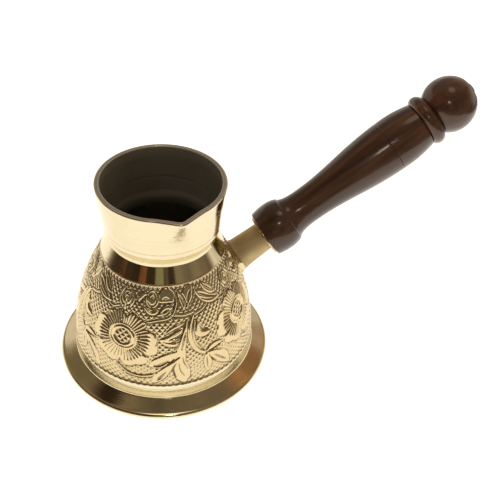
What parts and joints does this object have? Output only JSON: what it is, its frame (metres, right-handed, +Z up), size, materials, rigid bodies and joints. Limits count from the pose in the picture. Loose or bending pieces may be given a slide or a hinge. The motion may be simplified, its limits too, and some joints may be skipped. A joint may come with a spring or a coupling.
{
  "type": "turkish coffee pot",
  "caption": "Cast brass long-handled coffee pot on a wide foot, with an embossed belly, a pouring lip and a turned wooden handle that unscrews.",
  "frame": {"origin": "centre of the foot's underside, on the pot's axis", "axes": "+Z up the pot's axis, +X from the axis towards the handle, -Y towards the pouring lip"},
  "size_m": [0.2003, 0.1, 0.1236],
  "materials": {
    "cast_brass": "embossed and polished, with dark patina left in the recesses",
    "foot_brass": "polished, with faint turning marks",
    "tinned_lining": "wiped tin, darkened by use",
    "stem_brass": "satin polished",
    "steel": "zinc plated",
    "sheet_brass": "polished",
    "lacquered_wood": "dark red-brown gloss lacquer over close grain"
  },
  "bodies": {
    "pot": {"pot_body": "cast_brass", "foot_plate": "foot_brass", "tin_lining": "tinned_lining", "handle_stem": "stem_brass", "handle_stud": "steel"},
    "washer": {"stem_washer": "sheet_brass"},
    "handle": {"handle_grip": "lacquered_wood", "thread_insert": "sheet_brass"}
  },
  "joints": [
    {"name": "washer_slide", "type": "slide", "parent": "pot", "child": "washer", "axis": [0.8434, 0, 0.5373], "range_m": [0, 0.0121]},
    {"name": "handle_turn", "type": "hinge", "parent": "washer", "child": "handle", "pos_m": [0.04913, 0, 0.0545], "axis": [0.8434, 0, 0.5373], "range_deg": [0, 4320]}
  ],
  "couplings": [
    {"joint": "washer_slide", "follows": "handle_turn", "m_per_rad": 0.00015915}
  ]
}
